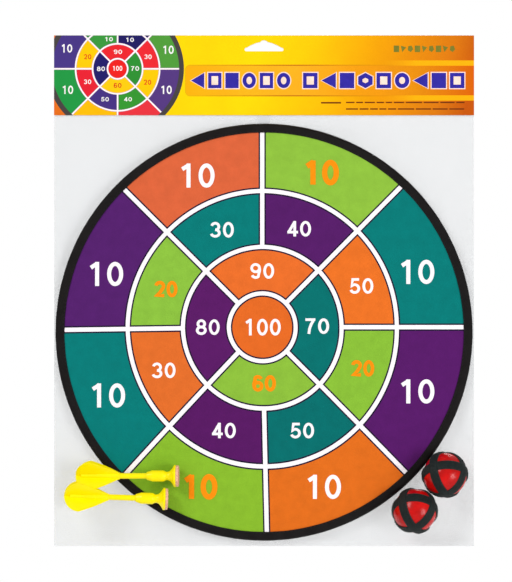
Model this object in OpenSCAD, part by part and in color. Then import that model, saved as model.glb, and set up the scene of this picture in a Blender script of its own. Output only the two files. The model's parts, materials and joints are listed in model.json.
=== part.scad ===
// Hook-and-loop dartboard set on its hanging card: a round cloth board with a bound
// wire rim, two darts and two strapped balls, hung in front of a clear film bag.
// The origin is where a peg carries the card: the top of the hang hole.
// +Z is up, and the printed face looks along -Y.

/* [Board] */
// Outside diameter of the board, over its binding
board_d = 363; // [320:1:400]
// Height of the board's centre under the peg
board_drop = 254.4; // [240:0.2:280]
// Thickness of the foam in the middle
foam_t = 4; // [3:0.5:5]
// Thickness of the brushed loop cloth on the face
face_t = 1; // [0.8:0.1:1.2]
// Thickness of the woven cloth on the back
back_t = 0.8; // [0.6:0.1:1]
// Thickness of the bound rim
rim_t = 7; // [6.6:0.1:7.4]
// Width of binding that shows on the face
binding_w = 8; // [7:0.5:10]
// Diameter of the spring wire in the rim
wire_d = 3; // [2:0.1:3.4]

/* [Card and bag] */
// Width of the folded header card
card_w = 366; // [340:1:400]
// Height of the header card
card_h = 69.8; // [60:0.2:72]
// Thickness of the card
card_t = 0.4; // [0.3:0.1:0.6]
// Width of the hang hole's slot
slot_w = 34; // [30:1:40]
// Radius of the round top of the hang hole
peak_r = 4; // [3.5:0.5:5]
// Width of the clear bag
bag_w = 366; // [340:1:400]
// Depth of the bag's bottom seam under the peg
bag_drop = 441; // [430:1:480]
// Thickness of one film of the bag
film_t = 0.2; // [0.1:0.05:0.25]

/* [Hanging loop] */
// Width of the tape that carries the board
tape_w = 10; // [8:1:15]
// Thickness of that tape
tape_t = 0.8; // [0.6:0.1:0.8]
// Length of tape glued inside the card
tape_in_card = 30; // [20:1:40]
// Length of tape down the back of the board
tape_on_board = 30; // [25:1:60]

/* [Darts] */
// Length of a dart without its hook pad
dart_l = 86.9; // [85:0.1:95]
// Length of the flight
flight_l = 38.4; // [30:0.2:42]
// Greatest half width of a flight vane
vane_r = 17; // [12:0.5:17]
// Thickness of a vane
vane_t = 0.8; // [0.6:0.1:1]
// Diameter of the shaft
shaft_d = 5; // [4:0.1:6]
// Diameter of the barrel
barrel_d = 9.8; // [8:0.1:10]
// Diameter of the flared head
head_d = 19.2; // [16:0.2:19.2]
// Diameter of the hook pad
pad_d = 18.4; // [14:0.2:18.6]
// Thickness of the hook pad
pad_t = 2.8; // [2:0.1:3]

/* [Balls] */
// Diameter of a ball over its straps
ball_d = 40; // [36:0.5:40]
// Width of a hook strap
strap_w = 8; // [6:0.5:12]
// Thickness of a hook strap
strap_t = 1.2; // [0.8:0.1:1.5]
// Wall of the hollow ball
shell_t = 1.5; // [1:0.1:2]

/* [Hidden] */
$fn = 96;

fit = 0.05;                        // clearance round pieces that are pressed together
// The stack from back to front is back flap, back film, front film, tape, front flap,
// with the front film centred on the plane y = 0
film_gap = 0.1;                    // air between the two films
film_back_y = film_t / 2 + film_gap + film_t;
tape_back_y = -0.5;                // the tape hangs just clear of the film
tape_front_y = tape_back_y - tape_t;
card_in_y = [tape_front_y, film_back_y];
card_mid_y = (card_in_y[0] + card_in_y[1]) / 2;
card_in_r = (card_in_y[1] - card_in_y[0]) / 2;
card_top = 4.4;                    // card above the peg
card_bottom = card_top - card_h;
film_top = -14;                    // the bag ends under the hang hole

// The board's own frame: its axis runs towards the viewer, zero at mid-thickness
board_t = foam_t + face_t + back_t;
board_y = tape_front_y - rim_t / 2;
board_r = board_d / 2;
tube_r = board_r - rim_t / 2;
core_r = tube_r - 2.5;             // the cloth layers end inside the binding
lip_r = board_r - binding_w;
stitch_r = lip_r + 0.9;
stitch_w = 0.4;

// The tape bends on this line, between the card and the rim
hinge_z = -70;
hinge_gap = 0.8;

dart_1_tail = [-163.1, -15.1, -378.5];
dart_1_lean = [0, 0, -1.63];
dart_2_tail = [-172.2, -26.5, -394.7];
dart_2_lean = [0, 2.3, 4.79];
widest_x = 13;                     // where a vane is widest, from the tail
barrel_x = 61.6;
neck_x = 77.5;
neck_r = 3.7;
head_x = 79.7;
head_rim = 1.5;
socket_l = 6;                      // how far the shaft goes into the barrel

ball_r = ball_d / 2;
ball_in_r = ball_r - strap_t;
ball_y = -film_t / 2 - ball_r - 0.4;
// Where each ball lies: its distance from the board's axis, and its direction from there
ball_1_place = [198.5, -38.2];
ball_2_place = [201.5, -49.8];
corner_tilt = 35.264;              // brings a cube's corner level
// How each ball lies: clockwise turn, then nod down and turn to the right
ball_1_lie = [184, 4, 8];
ball_2_lie = [188, -7, 4];

// A low slot with rounded ends, and sides that swell up to the round top
module hang_hole() {
  end_r = 1.6;
  slot_z = -8.1;
  end_x = slot_w / 2 - end_r;
  slope_x = 0.8 * peak_r;
  side = [[end_x, slot_z], [end_x, slot_z + end_r - 0.1], [0.7 * slot_w / 2, -4.6],
    [0.4 * slot_w / 2, -2.4], [slope_x, -0.4 * peak_r]];
  rotate([90, 0, 0]) linear_extrude(height = 12, center = true) {
    translate([0, -peak_r]) circle(r = peak_r);
    translate([-end_x, slot_z - end_r]) square([2 * end_x, 2 * end_r]);
    for (s = [-1, 1]) {
      translate([s * end_x, slot_z]) circle(r = end_r);
      polygon(concat([[0, slot_z]], [for (p = side) [s * p[0], p[1]]], [[0, -0.4 * peak_r]]));
    }
  }
}

// A folded card, seen from its end: two flaps and a rounded crease
module card_section() {
  out_r = card_in_r + card_t;
  flap = card_h - out_r;
  difference() {
    union() {
      circle(r = out_r);
      translate([-out_r, -flap]) square([2 * out_r, flap]);
    }
    circle(r = card_in_r);
    translate([-card_in_r, -flap - 1]) square([2 * card_in_r, flap + 1]);
  }
}

module header_card() {
  color("orange") difference() {
    translate([-card_w / 2, card_mid_y, card_top - card_in_r - card_t])
      rotate([90, 0, 90]) linear_extrude(height = card_w) card_section();
    hang_hole();
  }
}

module film(back_y) {
  translate([-bag_w / 2, back_y - film_t, -bag_drop])
    cube([bag_w, film_t, bag_drop + film_top]);
}

module bag_front_film() { color([0.93, 0.94, 0.95, 0.3]) film(film_t / 2); }

module bag_back_film() { color([0.93, 0.94, 0.95, 0.3]) film(film_back_y); }

module loop_top() {
  low = hinge_z + hinge_gap;
  color("gainsboro") translate([-tape_w / 2, tape_front_y, low])
    cube([tape_w, tape_t, card_bottom + tape_in_card - low]);
}

// Down the back of the rim, then in against the back cloth
module loop_tab() {
  rim_end = -board_drop + lip_r - 1;
  step = (rim_t - board_t) / 2;
  top = hinge_z - hinge_gap;
  end = -board_drop + board_r - tape_on_board;
  color("gainsboro") translate([-tape_w / 2, tape_front_y, 0]) rotate([90, 0, 90])
    linear_extrude(height = tape_w) polygon([
      [0, top], [tape_t, top], [tape_t, rim_end], [tape_t - step, rim_end - 3],
      [tape_t - step, end], [-step, end], [-step, rim_end - 3], [0, rim_end]
    ]);
}

// Puts a shape drawn about +Z in the board's place, with +Z towards the viewer
module on_board() {
  translate([0, board_y, -board_drop]) rotate([90, 0, 0]) children();
}

module layer(low, thick) { translate([0, 0, low]) cylinder(r = core_r - fit, h = thick); }

module face_cloth() { color("teal") on_board() layer(board_t / 2 - face_t, face_t); }

module foam_core() { color("whitesmoke") on_board() layer(back_t - board_t / 2, foam_t); }

module back_cloth() { color("dimgray") on_board() layer(-board_t / 2, back_t); }

module rim_wire() {
  color("silver") on_board() rotate_extrude() translate([tube_r, 0]) circle(d = wire_d);
}

module edge_binding() {
  color([0.16, 0.14, 0.15]) on_board() rotate_extrude() difference() {
    union() {
      translate([tube_r, 0]) circle(d = rim_t);
      translate([lip_r, -rim_t / 2]) square([tube_r - lip_r, rim_t]);
    }
    translate([lip_r - 1, -board_t / 2]) square([core_r - lip_r + 1, board_t]);
    translate([tube_r, 0]) circle(d = wire_d + 2 * fit);
  }
}

module stitch_row(low) {
  rotate_extrude() translate([stitch_r - stitch_w / 2, low]) square([stitch_w, stitch_w]);
}

module front_stitch_row() { color("black") on_board() stitch_row(rim_t / 2); }

module back_stitch_row() {
  color("black") on_board() difference() {
    stitch_row(-rim_t / 2 - stitch_w);
    translate([-tape_w / 2 - 0.5, 0, -rim_t]) cube([tape_w + 1, board_r, rim_t]);
  }
}

// A dart lies along +X from its tail
module placed_dart(tail, lean) { translate(tail) rotate(lean) children(); }

module vane() {
  round_tail = [for (a = [0:10:90]) [widest_x * (1 - cos(a)), vane_r * sin(a)]];
  outline = concat(round_tail, [[flight_l, shaft_d / 2 + 0.8], [flight_l, shaft_d / 2 + 0.4],
    [3, shaft_d / 2 + 0.4], [3, 0]]);
  translate([0, 0, -vane_t / 2]) linear_extrude(height = vane_t) polygon(outline);
}

module flight() {
  sleeve_r = shaft_d / 2 + 0.8;
  difference() {
    union() {
      for (a = [45:90:315]) rotate([a, 0, 0]) vane();
      translate([3, 0, 0]) rotate([0, 90, 0]) cylinder(r = sleeve_r, h = flight_l - 3);
    }
    translate([5, 0, 0]) rotate([0, 90, 0]) cylinder(d = shaft_d + 2 * fit, h = flight_l);
  }
}

module shaft() {
  translate([5, 0, 0]) rotate([0, 90, 0]) cylinder(d = shaft_d, h = barrel_x + socket_l - 5);
}

// Turned pieces: a half outline of [radius, place along the dart]
module turned(outline) { rotate([0, 90, 0]) rotate_extrude() polygon(outline); }

module barrel() {
  r = barrel_d / 2;
  bore_r = shaft_d / 2 + fit;
  turned([[bore_r, barrel_x], [bore_r + 0.8, barrel_x], [r - 0.5, barrel_x + 3.4],
    [r, barrel_x + 4.8], [r, neck_x - 1.8], [r - 0.3, neck_x - 0.8], [neck_r, neck_x + 0.9],
    [neck_r, head_x], [0, head_x], [0, barrel_x + socket_l], [bore_r, barrel_x + socket_l]]);
}

module head() {
  r = head_d / 2;
  flare_l = dart_l - head_rim - head_x;
  flare = [for (t = [0:0.25:1]) [neck_r + (r - neck_r) * t * t, head_x + flare_l * t]];
  turned(concat([[0, head_x]], flare, [[r, dart_l], [0, dart_l]]));
}

module hook_pad() { translate([dart_l, 0, 0]) rotate([0, 90, 0]) cylinder(d = pad_d, h = pad_t); }

module dart_1_flight() { color("yellow") placed_dart(dart_1_tail, dart_1_lean) flight(); }
module dart_1_shaft() { color("gold") placed_dart(dart_1_tail, dart_1_lean) shaft(); }
module dart_1_barrel() { color("yellow") placed_dart(dart_1_tail, dart_1_lean) barrel(); }
module dart_1_head() { color("gold") placed_dart(dart_1_tail, dart_1_lean) head(); }
module dart_1_hook_pad() { color("peachpuff") placed_dart(dart_1_tail, dart_1_lean) hook_pad(); }
module dart_2_flight() { color("yellow") placed_dart(dart_2_tail, dart_2_lean) flight(); }
module dart_2_shaft() { color("gold") placed_dart(dart_2_tail, dart_2_lean) shaft(); }
module dart_2_barrel() { color("yellow") placed_dart(dart_2_tail, dart_2_lean) barrel(); }
module dart_2_head() { color("gold") placed_dart(dart_2_tail, dart_2_lean) head(); }
module dart_2_hook_pad() { color("peachpuff") placed_dart(dart_2_tail, dart_2_lean) hook_pad(); }

// One gap between the ball's three crossing straps is brought to face the viewer
module placed_ball(place, lie) {
  translate([place[0] * cos(place[1]), ball_y, place[0] * sin(place[1]) - board_drop])
    rotate([lie[1], 0, lie[2]]) rotate([0, lie[0], 0])
    rotate([0, 0, -90]) rotate([0, corner_tilt, 0]) rotate([0, 0, -45]) children();
}

// Half of the hollow ball; side is 1 or -1
module half_shell(side) {
  difference() {
    sphere(r = ball_in_r - fit);
    sphere(r = ball_in_r - shell_t);
    translate([-ball_d, -ball_d, side > 0 ? -2 * ball_d : 0]) cube(2 * ball_d);
  }
}

module across(axis) {
  size = [for (i = [0:2]) i == axis ? strap_w : 2 * ball_d];
  cube(size, center = true);
}

// A whole strap, square to +Z
module band() {
  rotate_extrude() intersection() {
    difference() {
      circle(r = ball_r);
      circle(r = ball_in_r);
    }
    translate([0, -strap_w / 2]) square([ball_d, strap_w]);
  }
}

// The strap square to one axis, without the stretches where earlier straps cross over it
module strap(axis) {
  stand = [[0, 90, 0], [90, 0, 0], [0, 0, 0]];
  difference() {
    rotate(stand[axis]) band();
    if (axis > 0) across(0);
    if (axis > 1) across(1);
  }
}

module ball_1_half_a() { color("red") placed_ball(ball_1_place, ball_1_lie) half_shell(1); }
module ball_1_half_b() { color("red") placed_ball(ball_1_place, ball_1_lie) half_shell(-1); }
module ball_1_strap_a() { color("black") placed_ball(ball_1_place, ball_1_lie) strap(0); }
module ball_1_strap_b() { color("black") placed_ball(ball_1_place, ball_1_lie) strap(1); }
module ball_1_strap_c() { color("black") placed_ball(ball_1_place, ball_1_lie) strap(2); }
module ball_2_half_a() { color("red") placed_ball(ball_2_place, ball_2_lie) half_shell(1); }
module ball_2_half_b() { color("red") placed_ball(ball_2_place, ball_2_lie) half_shell(-1); }
module ball_2_strap_a() { color("black") placed_ball(ball_2_place, ball_2_lie) strap(0); }
module ball_2_strap_b() { color("black") placed_ball(ball_2_place, ball_2_lie) strap(1); }
module ball_2_strap_c() { color("black") placed_ball(ball_2_place, ball_2_lie) strap(2); }

header_card();
bag_front_film();
bag_back_film();
loop_top();
face_cloth();
foam_core();
back_cloth();
rim_wire();
edge_binding();
front_stitch_row();
back_stitch_row();
loop_tab();
dart_1_flight();
dart_1_shaft();
dart_1_barrel();
dart_1_head();
dart_1_hook_pad();
dart_2_flight();
dart_2_shaft();
dart_2_barrel();
dart_2_head();
dart_2_hook_pad();
ball_1_half_a();
ball_1_half_b();
ball_1_strap_a();
ball_1_strap_b();
ball_1_strap_c();
ball_2_half_a();
ball_2_half_b();
ball_2_strap_a();
ball_2_strap_b();
ball_2_strap_c();
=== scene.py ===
"""Builds the looks of a hook-and-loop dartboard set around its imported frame.

The set hangs from a printed card: a cloth board with a bound rim, a clear bag, two darts and
two strapped balls. Places are in metres in the frame's own axes: +Z is up and the printed
face looks along -Y. Print sizes are kept in millimetres, as a printer would give them.
"""

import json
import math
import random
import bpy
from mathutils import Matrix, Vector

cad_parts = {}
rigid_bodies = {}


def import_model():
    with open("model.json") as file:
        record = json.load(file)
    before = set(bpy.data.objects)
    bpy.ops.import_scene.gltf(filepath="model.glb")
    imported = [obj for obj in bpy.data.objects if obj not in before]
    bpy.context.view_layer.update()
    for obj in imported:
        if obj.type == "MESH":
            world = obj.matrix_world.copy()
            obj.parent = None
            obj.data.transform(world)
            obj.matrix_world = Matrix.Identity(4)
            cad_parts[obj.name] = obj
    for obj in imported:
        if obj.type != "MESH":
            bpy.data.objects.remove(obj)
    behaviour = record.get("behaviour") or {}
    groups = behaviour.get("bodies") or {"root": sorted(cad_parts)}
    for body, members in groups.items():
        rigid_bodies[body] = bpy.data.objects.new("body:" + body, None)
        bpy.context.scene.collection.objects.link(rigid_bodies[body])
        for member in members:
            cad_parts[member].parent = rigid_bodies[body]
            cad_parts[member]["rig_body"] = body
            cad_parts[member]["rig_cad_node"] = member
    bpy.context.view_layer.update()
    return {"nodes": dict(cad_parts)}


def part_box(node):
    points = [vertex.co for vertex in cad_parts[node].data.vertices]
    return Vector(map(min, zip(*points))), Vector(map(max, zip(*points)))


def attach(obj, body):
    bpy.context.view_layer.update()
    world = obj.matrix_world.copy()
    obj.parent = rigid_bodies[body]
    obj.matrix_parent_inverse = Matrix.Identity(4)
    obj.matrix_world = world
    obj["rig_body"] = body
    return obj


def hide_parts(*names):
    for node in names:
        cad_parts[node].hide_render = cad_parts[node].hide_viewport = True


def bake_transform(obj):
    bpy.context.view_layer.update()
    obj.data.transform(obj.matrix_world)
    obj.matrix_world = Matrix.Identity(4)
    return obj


bl_info = {
    "name": "Hook-and-Loop Dartboard Set",
    "version": (1, 0, 0),
    "blender": (4, 5, 0),
    "location": "View3D > Sidebar > Dartboard",
    "description": "Cloth board, card, bag, darts and balls around the packed frame",
    "category": "Object",
}

import bpy
import numpy as np
from bpy.props import FloatProperty, FloatVectorProperty, IntProperty, PointerProperty
from mathutils import Matrix, Vector, noise

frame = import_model()

MM = 0.001
UPRIGHT = (math.radians(90), 0, 0)  # turns a flat shape to face the viewer, upright
FRONT = Vector((0, -1, 0))


# ---------------------------------------------------------------- colours and shader nodes


def linear(hex_colour):
    """An sRGB hex colour as the linear RGBA that shaders take."""
    parts = [int(hex_colour[i : i + 2], 16) / 255 for i in (1, 3, 5)]
    return [c / 12.92 if c <= 0.04045 else ((c + 0.055) / 1.055) ** 2.4 for c in parts] + [1.0]


def add(tree, kind, inputs=None, **settings):
    """Adds a shader node with its settings, and fills its inputs with values or links."""
    made = tree.nodes.new(kind)
    for key, value in settings.items():
        setattr(made, key, value)
    for key, value in (inputs or {}).items():
        if isinstance(value, bpy.types.NodeSocket):
            tree.links.new(value, made.inputs[key])
        else:
            made.inputs[key].default_value = value
    return made


def set_stops(ramp, stops, interpolation="LINEAR"):
    """Gives a colour ramp its (place, colour) stops."""
    band = ramp.color_ramp
    band.interpolation = interpolation
    for index, (place, colour) in enumerate(stops):
        element = band.elements[index] if index < 2 else band.elements.new(place)
        element.position = place
        element.color = colour
    return ramp.outputs["Color"]


def new_material(name, base=None, **sockets):
    """A Principled material; what is the same all over is set on the shader's own sockets."""
    made = bpy.data.materials.new(name)
    made.use_nodes = True
    tree = made.node_tree
    shader = tree.nodes["Principled BSDF"]
    if base:
        shader.inputs["Base Color"].default_value = linear(base)
    for key, value in sockets.items():
        shader.inputs[key.replace("_", " ")].default_value = value
    return made, tree, shader


def mottle(tree, shader, colour, size, depth, darker=0.9, lighter=1.08):
    """Breaks a colour up with soft patches of the given size in metres."""
    place = add(tree, "ShaderNodeTexCoord").outputs["Object"]
    patches = add(
        tree, "ShaderNodeTexNoise", {"Vector": place, "Scale": 1 / size, "Detail": depth}
    )
    shade = set_stops(
        add(tree, "ShaderNodeValToRGB", {"Fac": patches.outputs["Fac"]}),
        [(0.3, [darker] * 3 + [1]), (0.7, [lighter] * 3 + [1])],
    )
    mixed = add(
        tree,
        "ShaderNodeMix",
        {0: 1.0, 6: colour, 7: shade},
        data_type="RGBA",
        blend_type="MULTIPLY",
    )
    tree.links.new(mixed.outputs[2], shader.inputs["Base Color"])


def raise_surface(tree, shader, height, distance, strength=1.0):
    """Turns a height into relief of the given depth in metres."""
    relief = add(
        tree,
        "ShaderNodeBump",
        {"Height": height, "Distance": distance, "Strength": strength},
    )
    tree.links.new(relief.outputs["Normal"], shader.inputs["Normal"])


def weave_height(tree, pitch, directions=("X", "Z"), place=None):
    """The height of a plain weave with threads at the given pitch in metres."""
    place = place or add(tree, "ShaderNodeTexCoord").outputs["Object"]
    threads = [
        add(
            tree,
            "ShaderNodeTexWave",
            # a wave texture repeats every 0.314 of its scaled coordinate
            {"Vector": place, "Scale": math.pi / 10 / pitch, "Distortion": 0.6},
            bands_direction=direction,
        ).outputs["Fac"]
        for direction in directions
    ]
    if len(threads) == 1:
        return threads[0]
    return add(
        tree, "ShaderNodeMath", {0: threads[0], 1: threads[1]}, operation="MAXIMUM"
    ).outputs[0]


def flat_millimetres(tree, centre=(0, 0)):
    """X and Z on the object, in millimetres from a centre, as a vector and two numbers."""
    place = add(tree, "ShaderNodeTexCoord").outputs["Object"]
    mapped = add(
        tree,
        "ShaderNodeMapping",
        {"Vector": place, "Location": (-centre[0], 0, -centre[1]), "Scale": (1000, 0, 1000)},
    ).outputs["Vector"]
    parts = add(tree, "ShaderNodeSeparateXYZ", {"Vector": mapped})
    return mapped, parts.outputs["X"], parts.outputs["Z"]


def step_mix(tree, factor, before, after):
    """One colour where factor is 0, the other where it is 1."""
    return add(
        tree, "ShaderNodeMix", {0: factor, 6: before, 7: after}, data_type="RGBA"
    ).outputs[2]


def target_print(tree, plan):
    """The colour of a printed target: cells, pale bands between them and a dark outline.

    The bands' edge is where the distance to the nearest ring or spoke, less half its width,
    crosses zero. Spokes start at the ring that their plan names.
    """
    _, x, z = flat_millimetres(tree, plan["centre"])

    def calc(operation, *values):
        inputs = dict(enumerate(values))
        return add(tree, "ShaderNodeMath", inputs, operation=operation).outputs[0]

    if "slack" in plan:
        # the cloth lies a little askew: the lower spoke leans, the left one droops,
        # and the rings stretch downwards
        lean, droop, stretch, sag = plan["slack"]
        below = calc("MINIMUM", z, 0.0)
        beside = calc("MINIMUM", x, 0.0)
        x = calc("MULTIPLY_ADD", below, lean, x)
        z = calc("MULTIPLY_ADD", beside, -droop, calc("MULTIPLY", z, stretch))
        z = calc("MULTIPLY_ADD", calc("MULTIPLY", below, below), sag, z)
    flat = add(tree, "ShaderNodeCombineXYZ", {"X": x, "Y": z}).outputs["Vector"]
    radius = add(tree, "ShaderNodeVectorMath", {0: flat}, operation="LENGTH").outputs["Value"]
    turn = calc("MULTIPLY_ADD", calc("ARCTAN2", z, x), 0.5 / math.pi, 0.5)
    rings = plan["rings"]
    edge = None
    for ring in rings:
        away = calc("SUBTRACT", calc("ABSOLUTE", calc("SUBTRACT", radius, ring)), plan["band"] / 2)
        edge = away if edge is None else calc("MINIMUM", edge, away)
    slanted = calc("MINIMUM", *[calc("ABSOLUTE", calc(op, x, z)) for op in ("ADD", "SUBTRACT")])
    slanted = calc("MULTIPLY", slanted, math.sqrt(0.5))
    level = calc("MINIMUM", calc("ABSOLUTE", x), calc("ABSOLUTE", z))
    for spokes, first_ring in ((slanted, rings[0]), (level, rings[1])):
        away = calc("SUBTRACT", spokes, plan["spoke"] / 2)
        inside = calc("LESS_THAN", radius, first_ring)
        edge = calc("MINIMUM", edge, calc("MULTIPLY_ADD", inside, 1000.0, away))

    colours = []
    for cells in plan["zones"]:
        ramp = add(tree, "ShaderNodeValToRGB", {"Fac": turn})
        stops = [(k / 8, linear(cell)) for k, cell in enumerate(cells)]
        colours.append(set_stops(ramp, stops, "CONSTANT"))
    colour = colours[0]
    for ring, inner in zip(reversed(rings), colours[1:] + [linear(plan["bull"])]):
        colour = step_mix(tree, calc("LESS_THAN", radius, ring), colour, inner)
    half = plan["outline"] / 2
    colour = step_mix(tree, calc("LESS_THAN", edge, half), colour, linear(plan["dark"]))
    colour = step_mix(tree, calc("LESS_THAN", edge, -half), colour, linear(plan["pale"]))
    return colour, radius


# ---------------------------------------------------------------- modelling helpers


def clear_selection():
    """Deselects everything, because an operator acts on all that is selected."""
    if bpy.context.object and bpy.context.object.mode != "OBJECT":
        bpy.ops.object.mode_set(mode="OBJECT")
    bpy.ops.object.select_all(action="DESELECT")


def take(obj, *others):
    """Selects a piece, and any others with it, and makes the first one active."""
    clear_selection()
    for piece in (obj, *others):
        piece.select_set(True)
    bpy.context.view_layer.objects.active = obj
    return obj


def edit(obj, select="SELECT"):
    """Goes into edit mode on a piece with everything, or nothing, selected."""
    take(obj)
    bpy.ops.object.mode_set(mode="EDIT")
    bpy.ops.mesh.select_all(action=select)


def done():
    """Leaves edit mode."""
    bpy.ops.object.mode_set(mode="OBJECT")


def select_where(obj, kind, test):
    """Selects vertices, edges or faces by a test on each, and goes back into edit mode."""
    edit(obj, "DESELECT")
    bpy.ops.mesh.select_mode(type={"vertices": "VERT", "edges": "EDGE", "polygons": "FACE"}[kind])
    done()
    for element in getattr(obj.data, kind):
        element.select = test(element)
    bpy.ops.object.mode_set(mode="EDIT")


def modify(obj, kind, **settings):
    """Adds a modifier with its settings and applies it."""
    take(obj)
    bpy.ops.object.modifier_add(type=kind)
    modifier = obj.modifiers[-1]
    for key, value in settings.items():
        setattr(modifier, key, value)
    bpy.ops.object.modifier_apply(modifier=modifier.name)


def settle(obj):
    """Puts the object's place, turn and size into its mesh."""
    take(obj)
    bpy.ops.object.transform_apply(location=True, rotation=True, scale=True)
    return obj


def move_points(obj, rule):
    """Moves each point of a settled piece by a rule that gives its new place."""
    for vertex in obj.data.vertices:
        vertex.co = rule(vertex.co.copy())
    obj.data.update()


def outwards(obj):
    """Merges doubles and points the faces outwards."""
    edit(obj)
    bpy.ops.mesh.remove_doubles(threshold=1e-6)
    bpy.ops.mesh.normals_make_consistent(inside=False)
    done()


def smooth(obj, angle=30):
    """Shades a piece smooth, keeping edges sharper than the angle."""
    take(obj)
    bpy.ops.object.shade_smooth_by_angle(angle=math.radians(angle))


def joined(pieces):
    """Joins several pieces into the first."""
    take(*pieces)
    if len(pieces) > 1:
        bpy.ops.object.join()
    return bpy.context.object


def repeated(template, places):
    """One mesh with a copy of a small template at each place; the template is removed."""
    count = len(template.data.vertices)
    points = [place @ vertex.co for place in places for vertex in template.data.vertices]
    faces = [
        [index + copy * count for index in face.vertices]
        for copy in range(len(places))
        for face in template.data.polygons
    ]
    mesh = bpy.data.meshes.new(template.name)
    mesh.from_pydata(points, [], faces)
    made = bpy.data.objects.new(template.name, mesh)
    bpy.context.scene.collection.objects.link(made)
    bpy.data.objects.remove(template)
    return made


def finish_piece(obj, name, material, body, replaced=()):
    """Names a piece, gives it its material, and fixes it to its body of the frame."""
    settle(obj)
    obj.name = obj.data.name = name
    obj.data.materials.clear()
    obj.data.materials.append(material)
    if body:
        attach(obj, body)
    if replaced:
        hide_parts(*replaced)
    return obj


def paint_node(node, material):
    """Gives a CAD node a better material; its shape stays."""
    data = frame["nodes"][node].data
    data.materials.clear()
    data.materials.append(material)


def node_points(*nodes):
    """All the different corners of some CAD nodes."""
    corners = [tuple(v.co) for n in nodes for v in frame["nodes"][n].data.vertices]
    return np.unique(np.round(corners, 6), axis=0)


# ---------------------------------------------------------------- sizes and colours


class DartboardPrintSettings(bpy.types.PropertyGroup):
    """The target printed on the board's face."""

    centre: FloatVectorProperty(
        name="Print centre",
        description="X and Z of the print's centre, in millimetres",
        size=2,
        default=(-1.6, -250.0),
    )
    rings: FloatVectorProperty(
        name="Rings",
        description="Mid-line radius of each pale ring, in millimetres",
        size=3,
        default=(29.0, 68.9, 116.9),
    )
    band: FloatProperty(
        name="Ring width", description="Width of a pale ring, in millimetres", default=4.8
    )
    spoke: FloatProperty(
        name="Spoke width", description="Width of a pale spoke, in millimetres", default=5.0
    )
    outline: FloatProperty(
        name="Outline", description="Width of the dark outline, in millimetres", default=1.3
    )
    slack: FloatVectorProperty(
        name="Slack",
        description="How the print leans, droops, stretches and sags",
        size=4,
        precision=5,
        default=(0.0225, 0.0135, 0.988, 0.00018),
    )


class DartboardClothSettings(bpy.types.PropertyGroup):
    """Cloth, binding and stitches of the board."""

    steps: IntProperty(
        name="Steps round", description="Points round the binding", default=640, min=120
    )
    stitch_pitch: FloatProperty(
        name="Stitch pitch", description="From stitch to stitch", default=3.4 * MM, unit="LENGTH"
    )
    stitch_length: FloatProperty(
        name="Stitch length", description="Thread that shows", default=2.6 * MM, unit="LENGTH"
    )
    pucker: FloatProperty(
        name="Pucker", description="How far stitches pull in", default=0.25 * MM, unit="LENGTH"
    )


class DartboardBagSettings(bpy.types.PropertyGroup):
    """The clear bag's films."""

    columns: IntProperty(name="Columns", description="Film divisions across", default=120)
    rows: IntProperty(name="Rows", description="Film divisions down", default=140)
    film: FloatProperty(
        name="Film", description="Film thickness", default=0.08 * MM, unit="LENGTH"
    )
    billow: FloatProperty(
        name="Billow", description="How far the film stands back", default=2.2 * MM, unit="LENGTH"
    )
    creases: IntProperty(name="Creases", description="Number of creases", default=44)


class DartboardToySettings(bpy.types.PropertyGroup):
    """Darts and balls."""

    hook_pitch: FloatProperty(
        name="Hook pitch", description="From hook to hook", default=1.25 * MM, unit="LENGTH"
    )
    hook_height: FloatProperty(
        name="Hook height", description="Height of a hook", default=0.6 * MM, unit="LENGTH"
    )
    vane: FloatProperty(
        name="Vane", description="Thickness of a flight vane", default=0.8 * MM, unit="LENGTH"
    )


class DartboardStageSettings(bpy.types.PropertyGroup):
    """Camera, floor and lights."""

    distance: FloatProperty(
        name="Distance", description="Camera to board", default=2.0, unit="LENGTH"
    )
    width: FloatProperty(
        name="View width", description="Width that the view takes in", default=0.4465, unit="LENGTH"
    )
    aim: FloatVectorProperty(
        name="Aim",
        description="Middle of the view on the board's plane",
        size=3,
        subtype="TRANSLATION",
        default=(-0.007, 0, -0.2186),
    )
    floor: FloatProperty(
        name="Floor", description="Height of the floor", default=-0.62, unit="LENGTH"
    )


# ---------------------------------------------------------------- the board's face

# Cells run anticlockwise by eighths, from just under the left-hand spoke
TEAL, PURPLE, ORANGE, GREEN = "#007672", "#521963", "#e16a27", "#87b739"
OUTER_CELLS = [TEAL, "#84b42b", "#da6a1a", "#541764", TEAL, "#8aba3c", "#d56139", "#511d68"]
MIDDLE_CELLS = ["#db6a28", "#54155e", "#006a67", "#84b735", "#e36e22", PURPLE, TEAL, "#86b93c"]
INNER_CELLS = ["#571761", GREEN, GREEN, "#006d69", "#006d69", ORANGE, ORANGE, "#571761"]

# Each number: its text, its middle from the print's centre, its height and its width, in mm
NUMBERS_PALE = [
    ("10", -55.9, 131.7, 20.9, 29),
    ("10", 135.0, 48.0, 20.9, 29),
    ("10", 135.0, -55.8, 20.9, 29),
    ("10", 53.9, -138.7, 20.9, 29),
    ("10", -133.6, -59.3, 20.9, 29),
    ("10", -135.3, 46.2, 20.9, 29),
    ("30", -35.0, 84.6, 13.4, 20.6),
    ("40", 32.1, 85.5, 13.4, 20.6),
    ("50", 86.2, 35.8, 13.4, 20.6),
    ("50", 34.7, -89.8, 13.4, 20.6),
    ("40", -33.3, -89.8, 13.4, 20.6),
    ("30", -85.6, -37.5, 13.4, 20.6),
    ("90", 0.0, 48.8, 13.4, 20.6),
    ("70", 47.8, 0.9, 13.4, 20.6),
    ("80", -47.3, 0.0, 13.4, 20.6),
    ("100", 0.7, 0.0, 14.4, 30.7),
]
NUMBERS_ORANGE = [
    ("10", 52.1, 134.3, 20.9, 29),
    ("10", -53.4, -138.7, 20.9, 29),
    ("20", 87.0, -35.8, 13.4, 20.6),
    ("20", -83.9, 33.1, 13.4, 20.6),
    ("60", 1.6, -48.8, 13.4, 20.6),
]
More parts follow.
